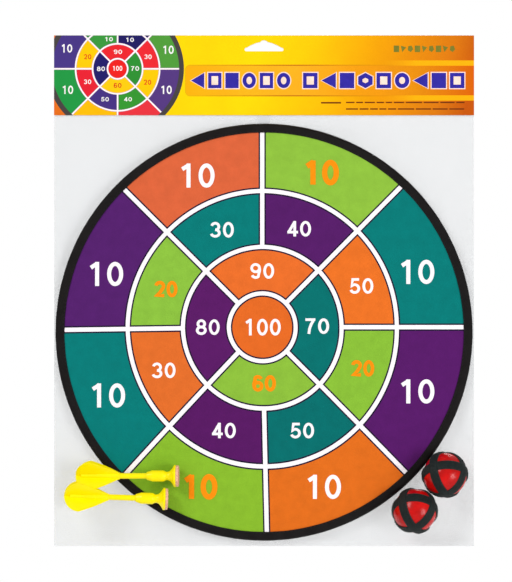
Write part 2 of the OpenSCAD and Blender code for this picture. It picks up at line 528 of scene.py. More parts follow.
BOLD, BOLDER = 0.168, 0.225  # thickness of a digit's stroke, as a share of its height
DIGIT_STEP = 0.8  # from one digit to the next, as a share of its height


def arc(x, z, wide, high, start, end):
    """Points along part of an ellipse, from one angle in degrees to another."""
    count = max(3, round(abs(end - start) / 12))
    angles = [math.radians(start + (end - start) * k / count) for k in range(count + 1)]
    return [(x + wide * math.cos(a), z + high * math.sin(a)) for a in angles]


# The middle line of each digit's strokes, in a box 0.66 wide and 1 high
DIGITS = {
    "0": [arc(0.33, 0.5, 0.25, 0.42, 90, 450)],
    "1": [[(0.12, 0.76), (0.4, 0.94)], [(0.38, 1.0), (0.38, 0.0)]],
    "2": [arc(0.33, 0.69, 0.245, 0.233, 172, -28) + [(0.36, 0.3), (0.1, 0.08), (0.62, 0.08)]],
    "3": [
        arc(0.32, 0.705, 0.22, 0.218, 165, -90),
        arc(0.32, 0.29, 0.25, 0.212, 90, -165),
    ],
    "4": [[(0.47, 0.0), (0.47, 1.0)], [(0.02, 0.28), (0.67, 0.28)], [(0.1, 0.28), (0.46, 0.93)]],
    "5": [
        [(0.59, 0.92), (0.2, 0.92), (0.13, 0.48), (0.22, 0.56)]
        + arc(0.32, 0.33, 0.25, 0.255, 100, -160)
    ],
    "6": [
        arc(0.33, 0.68, 0.24, 0.243, 25, 130) + arc(0.36, 0.42, 0.275, 0.34, 150, 195),
        arc(0.34, 0.315, 0.24, 0.238, 90, 450),
    ],
    "7": [[(0.03, 0.92), (0.63, 0.92)], [(0.56, 0.95), (0.38, 0.62), (0.28, 0.33), (0.24, 0.0)]],
    "8": [
        arc(0.33, 0.71, 0.205, 0.213, 90, 450),
        arc(0.33, 0.295, 0.25, 0.218, 90, 450),
    ],
    "9": [
        arc(0.33, 0.32, 0.24, 0.243, 205, 310) + arc(0.3, 0.58, 0.275, 0.34, -30, 15),
        arc(0.32, 0.685, 0.24, 0.238, 90, 450),
    ],
}


def ribbon(line, wide):
    """The two sides of a flat ribbon along a line, and whether the line closes."""
    closed = math.dist(line[0], line[-1]) < 1e-6
    if closed:
        line = line[:-1]
    count = len(line)
    sides = []
    for k, (x, z) in enumerate(line):
        before = line[(k - 1) % count] if closed or k else None
        after = line[(k + 1) % count] if closed or k < count - 1 else None
        ways = []
        for a, b in ((before, (x, z)), ((x, z), after)):
            if a is not None and b is not None:
                long = math.dist(a, b)
                ways.append(Vector(((b[0] - a[0]) / long, (b[1] - a[1]) / long)))
        way = sum(ways, Vector((0, 0))).normalized()
        mitre = min(1.6, 1 / max(0.3, way.dot(ways[0])))
        out = Vector((-way.y, way.x)) * (wide / 2 * mitre)
        sides.append(((x + out.x, z + out.y), (x - out.x, z - out.y)))
    return sides, closed


def number_shape(text, x, z, height, width, front, stroke=BOLD):
    """A printed number as flat ribbons, with its middle at x, z and all sizes in metres."""
    points, faces = [], []
    for place, digit in enumerate(text):
        for layer, line in enumerate(DIGITS[digit]):
            sides, closed = ribbon(line, stroke)
            first = len(points)
            count = len(sides)
            for pair in sides:
                for px, pz in pair:
                    # a second stroke lies a hair behind the first where they cross
                    points.append((px + place * DIGIT_STEP, front + 0.02 * MM * layer, pz))
            for k in range(count if closed else count - 1):
                a, b = first + 2 * k, first + 2 * ((k + 1) % count)
                faces.append((a, b, b + 1, a + 1))
    xs = [p[0] for p in points]
    middle = (min(xs) + max(xs)) / 2
    wide = width / (max(xs) - min(xs))
    placed = [(x + (p[0] - middle) * wide, p[1], z + (p[2] - 0.5) * height) for p in points]
    mesh = bpy.data.meshes.new("number")
    mesh.from_pydata(placed, [], faces)
    shape = bpy.data.objects.new("number", mesh)
    bpy.context.scene.collection.objects.link(shape)
    return shape


def ink_layer(shapes, name, material, body, thickness):
    """Joins flat shapes and gives them the thickness of a printed layer."""
    layer = joined(shapes)
    select_where(layer, "polygons", lambda f: f.normal.y > 0)
    bpy.ops.mesh.flip_normals()
    done()
    modify(layer, "SOLIDIFY", thickness=thickness, offset=-1)
    return finish_piece(layer, name, material, body)


def printed_cloth():
    """Brushed loop cloth, screen printed: matt, with a soft nap that catches side light."""
    plan_of = bpy.context.scene.dartboard_print
    made, tree, shader = new_material(
        "printed_loop_cloth", Roughness=0.92, Sheen_Weight=0.04, Sheen_Roughness=0.6
    )
    shader.inputs["Specular IOR Level"].default_value = 0.06
    plan = {
        "centre": plan_of.centre,
        "rings": list(plan_of.rings),
        "band": plan_of.band,
        "spoke": plan_of.spoke,
        "outline": plan_of.outline,
        "slack": list(plan_of.slack),
        "zones": [OUTER_CELLS, MIDDLE_CELLS, INNER_CELLS],
        "bull": "#dd6621",
        "dark": "#1d1430",
        "pale": "#faf3f7",
    }
    colour, _ = target_print(tree, plan)
    mottle(tree, shader, colour, 9 * MM, 5.0, 0.94, 1.05)
    place = add(tree, "ShaderNodeTexCoord").outputs["Object"]
    # loops stand about 1 mm apart; drawn at 1.4 mm so that they show
    loops = add(tree, "ShaderNodeTexNoise", {"Vector": place, "Scale": 1 / (1.4 * MM), "Detail": 3})
    raise_surface(tree, shader, loops.outputs["Fac"], 0.35 * MM)
    return made


def number_ink(name, colour):
    """Flock-like screen ink: a matt raised coat that lets the nap show a little."""
    made, tree, shader = new_material(name, Roughness=0.75)
    shader.inputs["Specular IOR Level"].default_value = 0.1
    mottle(tree, shader, linear(colour), 4 * MM, 3.0, 0.93, 1.04)
    place = add(tree, "ShaderNodeTexCoord").outputs["Object"]
    grain = add(tree, "ShaderNodeTexNoise", {"Vector": place, "Scale": 1 / (1.2 * MM)})
    raise_surface(tree, shader, grain.outputs["Fac"], 0.15 * MM)
    return made


class DARTBOARD_OT_face(bpy.types.Operator):
    """Makes the printed loop cloth of the board's face and its numbers"""

    bl_idname = "dartboard.face"
    bl_label = "Printed face"

    def execute(self, context):
        settings = context.scene.dartboard_print
        low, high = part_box("face_cloth")
        centre = (low + high) / 2
        radius = (high.x - low.x) / 2
        clear_selection()
        bpy.ops.mesh.primitive_circle_add(
            vertices=192,
            radius=radius,
            fill_type="NGON",
            location=(centre.x, low.y, centre.z),
            rotation=UPRIGHT,
        )
        cloth = bpy.context.object
        edit(cloth)
        rings = 26
        for _ in range(rings):
            bpy.ops.mesh.inset(thickness=radius / (rings + 1))
        bpy.ops.mesh.poke()
        done()
        settle(cloth)

        def soft(point):
            away = (point - Vector((centre.x, point.y, centre.z))).length
            # the foam crowns a little, and the binding pulls the cloth in at the rim
            crown = 0.15 * MM * math.cos(min(away / radius, 1) * math.pi / 2)
            pull = 0.25 * MM * max(0.0, (away - 0.94 * radius) / (0.06 * radius))
            wave = 0.08 * MM * noise.noise(point * 18)
            point.y += pull - crown + wave
            return point

        move_points(cloth, soft)
        modify(cloth, "SOLIDIFY", thickness=(high.y - low.y) * 0.8, offset=-1)
        smooth(cloth)
        finish_piece(
            cloth, "printed_face", printed_cloth(), "board", ["face_cloth"]
        )

        front = low.y - 0.32 * MM
        for name, colour, stroke, numbers in (
            ("numbers_pale", "#f7f2f6", BOLD, NUMBERS_PALE),
            ("numbers_orange", "#fb8e06", BOLDER, NUMBERS_ORANGE),
        ):
            shapes = [
                number_shape(
                    text,
                    (settings.centre[0] + x) * MM,
                    (settings.centre[1] + z) * MM,
                    height * MM,
                    width * MM,
                    front,
                    stroke,
                )
                for text, x, z, height, width in numbers
            ]
            ink = number_ink(name + "_ink", colour)
            ink_layer(shapes, name, ink, "board", 0.3 * MM)
        return {"FINISHED"}


# ---------------------------------------------------------------- back, binding, stitches


def plain_weave(name, colour, pitch, relief, roughness=0.85):
    """Woven polyester cloth: matt, with threads that show as a fine even grid."""
    made, tree, shader = new_material(name, Roughness=roughness, Sheen_Weight=0.04)
    shader.inputs["Specular IOR Level"].default_value = 0.15
    mottle(tree, shader, linear(colour), 14 * MM, 4.0, 0.85, 1.15)
    raise_surface(tree, shader, weave_height(tree, pitch), relief)
    return made


def ribbed_tape(name, colour, centre):
    """Folded binding tape: a woven rib that runs across it, with a dull satin look."""
    made, tree, shader = new_material(name, Roughness=0.55, Sheen_Weight=0.02)
    shader.inputs["Specular IOR Level"].default_value = 0.1
    mottle(tree, shader, linear(colour), 11 * MM, 4.0, 0.75, 1.3)
    mapped, x, z = flat_millimetres(tree, centre)
    angle = add(tree, "ShaderNodeMath", {0: z, 1: x}, operation="ARCTAN2").outputs[0]
    length = add(tree, "ShaderNodeVectorMath", {0: mapped}, operation="LENGTH").outputs["Value"]
    # 1 unit round the rim and across it is 1 mm
    along = add(tree, "ShaderNodeMath", {0: angle, 1: 176.0}, operation="MULTIPLY").outputs[0]
    round_rim = add(tree, "ShaderNodeCombineXYZ", {"X": along, "Z": length}).outputs["Vector"]
    raise_surface(tree, shader, weave_height(tree, 1.1, place=round_rim), 0.18 * MM)
    return made


def stitch_places(radius, y, centre, settings, skip=0.0):
    """Where each stitch of a round row lies; skip leaves out a stretch at the top."""
    count = round(2 * math.pi * radius / settings.stitch_pitch)
    places = []
    for k in range(count):
        angle = 2 * math.pi * (k + 0.5) / count
        x, z = radius * math.cos(angle), radius * math.sin(angle)
        if z > 0 and abs(x) < skip:
            continue
        lean = Matrix.Rotation(-angle + math.radians(8), 4, "Y")
        places.append(Matrix.Translation((centre.x + x, y, centre.z + z)) @ lean)
    return places


def one_stitch(length, thick):
    """A short plump length of thread, lying along Z, sunk at its ends."""
    clear_selection()
    bpy.ops.mesh.primitive_uv_sphere_add(segments=8, ring_count=6, radius=0.5)
    stitch = bpy.context.object
    bpy.ops.transform.resize(value=(thick, thick, length))
    settle(stitch)

    def sunk(point):
        return Vector((point.x, point.y + 0.3 * thick * (2 * point.z / length) ** 4, point.z))

    move_points(stitch, sunk)
    return stitch


class DARTBOARD_OT_binding(bpy.types.Operator):
    """Spins the folded binding tape round the rim and sews it down, front and back"""

    bl_idname = "dartboard.binding"
    bl_label = "Binding and stitches"

    def execute(self, context):
        settings = context.scene.dartboard_cloth
        low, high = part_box("edge_binding")
        centre = (low + high) / 2
        half = (high.y - low.y) / 2
        outer = (high.x - low.x) / 2
        tube = outer - half
        stitch_low, stitch_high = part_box("front_stitch_row")
        stitch_radius = (stitch_high.x - stitch_low.x) / 2 - 0.2 * MM
        lip = stitch_radius - 0.9 * MM
        clear_selection()
        # the fold round the rim wire: the outer half of a circle, then a lip on each face
        bpy.ops.mesh.primitive_circle_add(
            vertices=24, radius=half, location=(centre.x + tube, centre.y, centre.z)
        )
        tape = settle(bpy.context.object)
        select_where(tape, "vertices", lambda v: v.co.x < centre.x + tube - 0.1 * MM)
        bpy.ops.mesh.delete(type="VERT")
        step = (tube - lip) / 4
        for side in (-1, 1):
            face = centre.y + side * half
            for _ in range(4):
                done()
                ends = [v for v in tape.data.vertices if abs(v.co.y - face) < 1e-5]
                last = min(ends, key=lambda v: v.co.x).index
                select_where(tape, "vertices", lambda v: v.index == last)
                bpy.ops.mesh.extrude_vertices_move(TRANSFORM_OT_translate={"value": (-step, 0, 0)})
        bpy.ops.mesh.select_all(action="SELECT")
        bpy.ops.mesh.spin(
            steps=settings.steps,
            angle=2 * math.pi,
            center=centre,
            axis=(0, 1, 0),
        )
        done()
        outwards(tape)
        stitches = round(2 * math.pi * stitch_radius / settings.stitch_pitch)

        def pucker(point):
            across = point - centre
            radius = math.hypot(across.x, across.z)
            angle = math.atan2(across.z, across.x)
            near = max(0.0, 1 - abs(radius - stitch_radius) / (2.2 * MM))
            dip = settings.pucker * near * (0.7 + 0.3 * math.cos(angle * stitches))
            sway = 0.12 * MM * noise.noise(Vector((math.cos(angle), math.sin(angle), 0)) * 22)
            point.y -= math.copysign(dip, across.y)
            scale = 1 + sway / radius
            return Vector((centre.x + across.x * scale, point.y, centre.z + across.z * scale))

        move_points(tape, pucker)
        modify(tape, "SOLIDIFY", thickness=0.6 * MM, offset=-1)
        smooth(tape)
        cover = ribbed_tape("woven_binding_tape", "#141111", (centre.x / MM, centre.z / MM))
        finish_piece(tape, "binding_tape", cover, "board", ["edge_binding"])

        thread = plain_weave("polyester_thread", "#1b191b", 0.5 * MM, 0.05 * MM, 0.5)
        for name, node, y, skip in (
            ("front_stitches", "front_stitch_row", low.y + 0.1 * MM, 0),
            ("back_stitches", "back_stitch_row", high.y - 0.1 * MM, 5.5 * MM),
        ):
            stitch = one_stitch(settings.stitch_length, 0.42 * MM)
            if y > centre.y:
                move_points(stitch, lambda p: Vector((p.x, -p.y, p.z)))
            row = repeated(stitch, stitch_places(stitch_radius, y, centre, settings, skip))
            outwards(row)
            smooth(row, 60)
            finish_piece(row, name, thread, "board", [node])
        return {"FINISHED"}


class DARTBOARD_OT_back(bpy.types.Operator):
    """Makes the woven cloth on the back and paints the foam and the wire inside"""

    bl_idname = "dartboard.back"
    bl_label = "Back cloth and core"

    def execute(self, context):
        low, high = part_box("back_cloth")
        centre = (low + high) / 2
        radius = (high.x - low.x) / 2
        clear_selection()
        bpy.ops.mesh.primitive_circle_add(
            vertices=144,
            radius=radius,
            fill_type="NGON",
            location=(centre.x, high.y, centre.z),
            rotation=UPRIGHT,
        )
        cloth = bpy.context.object
        edit(cloth)
        rings = 30
        for _ in range(rings):
            bpy.ops.mesh.inset(thickness=radius / (rings + 1))
        bpy.ops.mesh.poke()
        bpy.ops.mesh.flip_normals()
        done()
        settle(cloth)

        def slack(point):
            away = math.hypot(point.x - centre.x, point.z - centre.z) / radius
            edge = min(1.0, max(0.0, (1 - away) / 0.06))
            ripple = noise.noise(Vector((point.x * 22, 3, point.z * 9)))
            point.y -= 0.3 * MM * edge * (0.5 + 0.5 * ripple)
            return point

        move_points(cloth, slack)
        modify(cloth, "SOLIDIFY", thickness=(high.y - low.y) * 0.5, offset=-1)
        smooth(cloth)
        # threads stand 0.5 mm apart; drawn at 1.2 mm so that they show
        weave = plain_weave("woven_back_cloth", "#27262a", 1.2 * MM, 0.12 * MM)
        finish_piece(cloth, "back_panel", weave, "board", ["back_cloth"])

        foam, tree, shader = new_material("closed_cell_foam", Roughness=0.95)
        mottle(tree, shader, linear("#f1efe6"), 5 * MM, 3.0)
        place = add(tree, "ShaderNodeTexCoord").outputs["Object"]
        cells = add(tree, "ShaderNodeTexVoronoi", {"Vector": place, "Scale": 1 / (0.9 * MM)})
        raise_surface(tree, shader, cells.outputs["Distance"], 0.2 * MM)
        paint_node("foam_core", foam)

        wire, tree, shader = new_material("drawn_spring_steel", Metallic=1.0, Roughness=0.35)
        mottle(tree, shader, linear("#a9abae"), 3 * MM, 2.0)
        paint_node("rim_wire", wire)
        return {"FINISHED"}


def clear_strap():
    """Cast polypropylene strap: milky clear and ribbed, so that it hardly shows on the film."""
    made, tree, shader = new_material("ribbed_clear_strap", Roughness=0.35, Alpha=0.32)
    shader.inputs["Specular IOR Level"].default_value = 0.3
    mottle(tree, shader, linear("#e9ebee"), 6 * MM, 3.0, 0.95, 1.03)
    raise_surface(tree, shader, weave_height(tree, 1.2 * MM, ("X",)), 0.1 * MM)
    return made


class DARTBOARD_OT_hanging_loop(bpy.types.Operator):
    """Makes the clear strap that carries the board from the card, bent where it leaves the rim"""

    bl_idname = "dartboard.hanging_loop"
    bl_label = "Hanging loop"

    def execute(self, context):
        top_low, top_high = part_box("loop_top")
        tab_low, tab_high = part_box("loop_tab")
        thick = top_high.y - top_low.y
        mid = (top_low.y + top_high.y) / 2
        inset = (tab_high.y - tab_low.y) - thick
        _, rim_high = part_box("edge_binding")
        bend = rim_high.z - 9 * MM  # where the tape leaves the rim for the back cloth
        length = top_high.z - tab_low.z
        clear_selection()
        bpy.ops.mesh.primitive_grid_add(
            x_subdivisions=10,
            y_subdivisions=140,
            size=1,
            location=(0, mid, (top_high.z + tab_low.z) / 2),
            rotation=UPRIGHT,
        )
        tape = bpy.context.object
        bpy.ops.transform.resize(value=(top_high.x - top_low.x, 1, length))
        settle(tape)

        def lie(point):
            along = min(1.0, max(0.0, (bend - point.z) / (3 * MM)))
            point.y -= inset * along * along * (3 - 2 * along)
            point.y += 0.05 * MM * math.sin(point.x / (0.9 * MM) * 2)
            return point

        move_points(tape, lie)
        modify(tape, "SOLIDIFY", thickness=thick * 0.85, offset=0)
        modify(tape, "BEVEL", width=0.15 * MM, segments=2, limit_method="ANGLE")
        smooth(tape)
        finish_piece(tape, "hanging_loop", clear_strap(), None, ["loop_top", "loop_tab"])
        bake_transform(tape)
        return {"FINISHED"}


# ---------------------------------------------------------------- the header card

# The small printed target has its cells in the same order
CARD_OUTER = "#1f9140 #f7b500 #e1323c #52377b #4d9638 #262060 #2f8a3a #45347f".split()
CARD_MIDDLE = "#e02030 #43307c #33902e #ffc400 #e62730 #1f1b5c #37913a #fdc300".split()
CARD_INNER = "#1f1b63 #ffc60a #ffc60a #2c8a30 #2c8a30 #e3242b #e3242b #1f1b63".split()
CARD_TARGET = (-127.6, -25.0)
CARD_TARGET_RIM = (53.6, 57.8)  # where the small target's print and its dark rim end
BAND_MIDDLE = -35.2  # the title band's height on the card, in millimetres
BAND_HALF = 13.3
BAND_LEFT = -68.4

# How far across the card each colour of the ground, the band and its fades lies
CARD_GROUND = [
    (0.05, "#de6a18"),
    (0.10, "#fccd00"),
    (0.48, "#fdd300"),
    (0.58, "#fbc600"),
    (0.66, "#f6b600"),
    (0.75, "#ed9f00"),
    (0.84, "#e48a04"),
    (0.93, "#d6750a"),
    (1.00, "#c25406"),
]
BAND_COLOURS = [
    (0.28, "#f2aa02"),
    (0.45, "#f6b016"),
    (0.58, "#f6ac1c"),
    (0.72, "#ee9a0b"),
    (0.87, "#e08807"),
    (1.00, "#d86002"),
]
STRIP_FADE = [(0.78, "#000000"), (0.86, "#ffffff")]
LINE_FADE = [(0.28, "#9a9a9a"), (0.58, "#ffffff"), (0.74, "#9a9a9a"), (0.84, "#1a1a1a")]

# Each number on the small target, placed as on the board
CARD_NUMBERS = [
    ("10", -44.1, 17.8, 7.2, 9.2),
    ("10", -43.3, -18.3, 7.2, 9.2),
    ("10", 44.3, 16.6, 7.2, 9.2),
    ("10", 42.6, -18.3, 7.2, 9.2),
    ("10", -7.5, 25.8, 3.6, 6.8),
    ("10", 10.8, 25.3, 3.6, 6.8),
    ("30", 26.5, 10.5, 3.9, 6.4),
    ("30", -26.2, -11.3, 3.9, 6.4),
    ("50", -11.0, -26.5, 3.7, 6.8),
    ("40", 9.1, -26.5, 3.7, 6.8),
    ("90", 0.3, 14.8, 3.7, 7.2),
    ("70", 15.2, 0.3, 3.9, 7.0),
    ("80", -14.5, 0.0, 3.9, 7.0),
    ("100", 0.0, 0.4, 4.2, 8.2),
]
CARD_NUMBERS_RED = [
    ("20", -26.2, 10.5, 4.4, 6.6),
    ("20", 26.0, -11.7, 4.4, 6.6),
    ("60", 0.0, -14.5, 4.2, 6.8),
]


def coated_card():
    """Offset-printed coated card: smooth, satin, and pale and uncoated on its back."""
    made, tree, shader = new_material("coated_card", Roughness=0.42)
    shader.inputs["Specular IOR Level"].default_value = 0.08
    _, x, z = flat_millimetres(tree)

    def calc(operation, *values):
        return add(
            tree, "ShaderNodeMath", dict(enumerate(values)), operation=operation
        ).outputs[0]

    def ramp(factor, stops):
        colours = [(place, linear(colour)) for place, colour in stops]
        return set_stops(add(tree, "ShaderNodeValToRGB", {"Fac": factor}), colours)

    across = calc("MULTIPLY_ADD", x, 1 / 366, 0.5)
    slant = calc("MULTIPLY_ADD", z, -1 / 1400, calc("ADD", across, -0.022))
    ground = ramp(slant, CARD_GROUND)
    # distance outside the title band, which has round corners on the left
    corner = 4.0
    right_of = calc("SUBTRACT", BAND_LEFT + corner, x)
    off_middle = calc("ABSOLUTE", calc("SUBTRACT", z, BAND_MIDDLE))
    above = calc("SUBTRACT", off_middle, BAND_HALF - corner)
    both = add(tree, "ShaderNodeCombineXYZ", {"X": right_of, "Y": above}).outputs["Vector"]
    outside = add(
        tree, "ShaderNodeVectorMath", {0: both, 1: (0, 0, 0)}, operation="MAXIMUM"
    ).outputs["Vector"]
    length = add(tree, "ShaderNodeVectorMath", {0: outside}, operation="LENGTH").outputs["Value"]
    gap = calc("SUBTRACT", length, corner)

    strip = calc("MULTIPLY", calc("LESS_THAN", gap, 4.2), ramp(across, STRIP_FADE))
    colour = step_mix(tree, strip, ground, linear("#f4ae06"))
    line = calc("MULTIPLY", calc("LESS_THAN", gap, 0.5), ramp(across, LINE_FADE))
    colour = step_mix(tree, line, colour, linear("#b4610f"))
    band = ramp(across, BAND_COLOURS)
    colour = step_mix(tree, calc("LESS_THAN", gap, -0.4), colour, band)

    plan = {
        "centre": CARD_TARGET,
        "rings": [8.8, 21.8, 36.6],
        "band": 1.5,
        "spoke": 1.5,
        "outline": 0.25,
        "zones": [CARD_OUTER, CARD_MIDDLE, CARD_INNER],
        "bull": "#e51f1c",
        "dark": "#8d6a94",
        "pale": "#fbf3f2",
    }
    target, radius = target_print(tree, plan)
    shown, rim = CARD_TARGET_RIM
    # the small target is a little wider on its left
    left = calc("MINIMUM", calc("SUBTRACT", x, CARD_TARGET[0]), 0.0)
    radius = calc("MULTIPLY_ADD", left, 0.062, radius)
    colour = step_mix(tree, calc("LESS_THAN", radius, rim), colour, linear("#45403f"))
    colour = step_mix(tree, calc("LESS_THAN", radius, shown), colour, target)

    place = add(tree, "ShaderNodeTexCoord").outputs["Object"]
    depth = add(tree, "ShaderNodeSeparateXYZ", {"Vector": place}).outputs["Y"]
    low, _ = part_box("header_card")
    behind = calc("GREATER_THAN", depth, low.y + 0.5 * MM)
    colour = step_mix(tree, behind, colour, linear("#ece8df"))
    mottle(tree, shader, colour, 30 * MM, 3.0, 0.96, 1.03)
    fibres = add(tree, "ShaderNodeTexNoise", {"Vector": place, "Scale": 60, "Detail": 4})
    raise_surface(tree, shader, fibres.outputs["Fac"], 0.5 * MM, 0.35)
    return made


def printing_ink(name, colour):
    """Offset ink on coated card: a thin even layer with a soft gloss."""
    made, tree, shader = new_material(name, Roughness=0.4)
    shader.inputs["Specular IOR Level"].default_value = 0.08
    mottle(tree, shader, linear(colour), 6 * MM, 2.0, 0.9, 1.1)
    return made


def plain_mark(sides, x, z, width, height, y, turn=0.0, hole=0.0):
    """A flat mark with some number of sides, with or without a hole in it."""
    clear_selection()
    bpy.ops.mesh.primitive_circle_add(
        vertices=sides, radius=0.5, fill_type="NGON", rotation=(0, 0, turn)
    )
    mark = settle(bpy.context.object)
    xs = [v.co.x for v in mark.data.vertices]
    ys = [v.co.y for v in mark.data.vertices]
    scale = (width / (max(xs) - min(xs)), height / (max(ys) - min(ys)))
    middle = ((max(xs) + min(xs)) / 2, (max(ys) + min(ys)) / 2)
    move_points(
        mark,
        lambda p: Vector(((p.x - middle[0]) * scale[0], (p.y - middle[1]) * scale[1], 0)),
    )
    if hole:
        edit(mark)
        bpy.ops.mesh.inset(thickness=min(width, height) * (1 - hole) / 2)
        bpy.ops.mesh.delete(type="FACE")
        done()
    move_points(mark, lambda p: Vector((x + p.x, y, z + p.y)))
    return mark


# Plain shapes stand where the title's words would be: sides, turn in degrees, share of hole
TITLE_SHAPES = {
    "ring": (36, 0.0, 0.42),
    "square": (4, 45.0, 0.0),
    "triangle": (3, 90.0, 0.0),
    "frame": (4, 45.0, 0.5),
    "nut": (6, 0.0, 0.4),
}
# Each group of them: where it starts and its pitch in millimetres, and its shapes
TITLE_ROWS = [
    (-65.4, 15.0, "triangle frame square ring frame ring".split()),
    (32.3, 16.0, "frame triangle square nut frame ring triangle square frame".split()),
]


class DARTBOARD_OT_card(bpy.types.Operator):
    """Prints the folded card: ground, small target, title band and plain marks"""

    bl_idname = "dartboard.card"
    bl_label = "Header card"

    def execute(self, context):
        paint_node("header_card", coated_card())
        low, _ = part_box("header_card")
        front = low.y
        thin = 0.06 * MM
        blue = printing_ink("blue_ink", "#332a9c")
        pale = printing_ink("pale_ink", "#ffdfcf")
        dark = printing_ink("brown_ink", "#6e2f0a")
        olive = printing_ink("olive_ink", "#7c7a2c")
        white = printing_ink("white_ink", "#f4f1ef")
        red = printing_ink("red_ink", "#cf3d16")

        marks, edges = [], []
        for start, pitch, order in TITLE_ROWS:
            for k, which in enumerate(order):
                sides, turn, hole = TITLE_SHAPES[which]
                x = (start + pitch * (k + 0.5)) * MM
                z = BAND_MIDDLE * MM
                turn = math.radians(turn)
                wide, high = pitch * MM - 3.4 * MM, 13.4 * MM
                rim = 1.7 * MM
                edges.append(plain_mark(sides, x, z, wide + rim, high + rim, front - thin, turn))
                mark = plain_mark(sides, x, z, wide, high, front - 2 * thin, turn, hole)
                marks.append(mark)
        ink_layer(edges, "title_edges", pale, "pack", 1.5 * thin)
        ink_layer(marks, "title_marks", blue, "pack", 1.5 * thin)

        random.seed(4)
        square = math.pi / 4
        heading = (58.4 * MM, -54.6 * MM, 17.4 * MM, 1.3 * MM)
        lines = [plain_mark(4, *heading, front - thin, square)]
        for z in (-54.3, -60.0):
            x = 71.5
            while x < 170:
                wide = random.uniform(5, 15)
                wide = min(wide, 175.3 - x)
                centre = (x + wide / 2) * MM
                bar = (centre, z * MM, wide * MM, 1.1 * MM)
                lines.append(plain_mark(4, *bar, front - thin, square))
                x += wide + 1.4
        ink_layer(lines, "small_print_bars", dark, "pack", 1.5 * thin)

        badges = []
        for k in range(9):
            sides = (4, 3, 5)[k % 3]
            x = (115.4 + 6.1 * k) * MM
            badge = (x, -7.6 * MM, 4.7 * MM, 5.6 * MM)
            badges.append(plain_mark(sides, *badge, front - thin, square))
        ink_layer(badges, "small_badges", olive, "pack", 1.5 * thin)

        for name, ink, numbers in (
            ("card_numbers", white, CARD_NUMBERS),
            ("card_numbers_red", red, CARD_NUMBERS_RED),
        ):
            small = [
                number_shape(
                    text,
                    (CARD_TARGET[0] + x) * MM,
                    (CARD_TARGET[1] + z) * MM,
                    height * MM,
                    width * MM,
                    front - thin,
                )
                for text, x, z, height, width in numbers
            ]
            ink_layer(small, name, ink, "pack", 1.5 * thin)
        return {"FINISHED"}


# ---------------------------------------------------------------- the bag


def clear_film():
    """Polypropylene film: clear, glossy and a little milky, so that it shows as pale grey."""
    made, tree, shader = new_material("polypropylene_film", "#e0e2e4", Roughness=0.16, Alpha=0.19)
    shader.inputs["IOR"].default_value = 1.49
    place = add(tree, "ShaderNodeTexCoord").outputs["Object"]
    crinkle = add(
        tree,
        "ShaderNodeTexNoise",
        {"Vector": place, "Scale": 38, "Detail": 5, "Distortion": 0.8},
    )
    raise_surface(tree, shader, crinkle.outputs["Fac"], 3 * MM, 0.5)
    return made


def crease_lines(seed, count, low, high):
    """Straight creases in the film: a middle, a direction, a half length, a width, a depth."""
    random.seed(seed)
    lines = []
    for _ in range(count):
        middle = (random.uniform(low.x, high.x), random.uniform(low.z, high.z))
        angle = random.uniform(0, math.pi)
        half = random.uniform(20, 70) * MM
        width = random.uniform(2.0, 7.0) * MM
        depth = random.uniform(-1.0, 1.2) * MM
        lines.append((middle, (math.cos(angle), math.sin(angle)), half, width, depth))
    return lines


class DARTBOARD_OT_bag(bpy.types.Operator):
    """Hangs the two films of the clear bag from the card, creased and a little full"""

    bl_idname = "dartboard.bag"
    bl_label = "Clear bag"

    def execute(self, context):
        settings = context.scene.dartboard_bag
        material = clear_film()
        card_low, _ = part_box("header_card")
        for name, node, seed, extra in (
            ("bag_front", "bag_front_film", 11, 0.0),
            ("bag_back", "bag_back_film", 12, 1.6 * MM),
        ):
            low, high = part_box(node)
            width, height = high.x - low.x, high.z - low.z
            clear_selection()
            bpy.ops.mesh.primitive_grid_add(
                x_subdivisions=settings.columns,
                y_subdivisions=settings.rows,
                size=1,
                location=((low.x + high.x) / 2, (low.y + high.y) / 2, (low.z + high.z) / 2),
                rotation=UPRIGHT,
            )
            film = bpy.context.object
            bpy.ops.transform.resize(value=(width, 1, height))
            settle(film)
            lines = crease_lines(seed, settings.creases, low, high)

            def hang(point):
                side = min(point.x - low.x, high.x - point.x) / (16 * MM)
                below = (card_low.z - point.z) / (25 * MM)
                seam = (point.z - low.z) / (12 * MM)
                free = max(0.0, min(1.0, side, below, seam))
                free = free * free * (3 - 2 * free)
                full = settings.billow * (1 + 0.8 * noise.noise(point * 9))
                fold = 0.0
                for middle, way, half, wide, depth in lines:
                    dx, dz = point.x - middle[0], point.z - middle[1]
                    along = abs(dx * way[0] + dz * way[1]) / half
                    off = abs(dx * way[1] - dz * way[0]) / wide
                    if along < 1 and off < 1:
                        fold += depth * (1 - off) * (1 - along * along)
                point.y += free * max(0.1 * MM, full + extra + fold)
                return point

            move_points(film, hang)
            modify(film, "SOLIDIFY", thickness=settings.film, offset=0)
            smooth(film, 50)
            finish_piece(film, name, material, "pack", [node])
        return {"FINISHED"}


# ---------------------------------------------------------------- darts and balls


def one_hook(radius, height):
    """A tiny stem with a wider head, standing on +Z: one hook of the hook tape."""
    clear_selection()
    bpy.ops.mesh.primitive_cylinder_add(
        vertices=5, radius=radius, depth=height * 0.6, location=(0, 0, height * 0.3)
    )
    hook = settle(bpy.context.object)
    top = height * 0.6
    select_where(hook, "polygons", lambda f: f.center.z > top - 1e-6)
    bpy.ops.mesh.extrude_region_move(TRANSFORM_OT_translate={"value": (0, 0, height * 0.15)})
    bpy.ops.transform.resize(value=(1.9, 1.9, 1))
    bpy.ops.mesh.extrude_region_move(TRANSFORM_OT_translate={"value": (0, 0, height * 0.25)})
    bpy.ops.transform.resize(value=(0.45, 0.45, 1))
    done()
    return hook


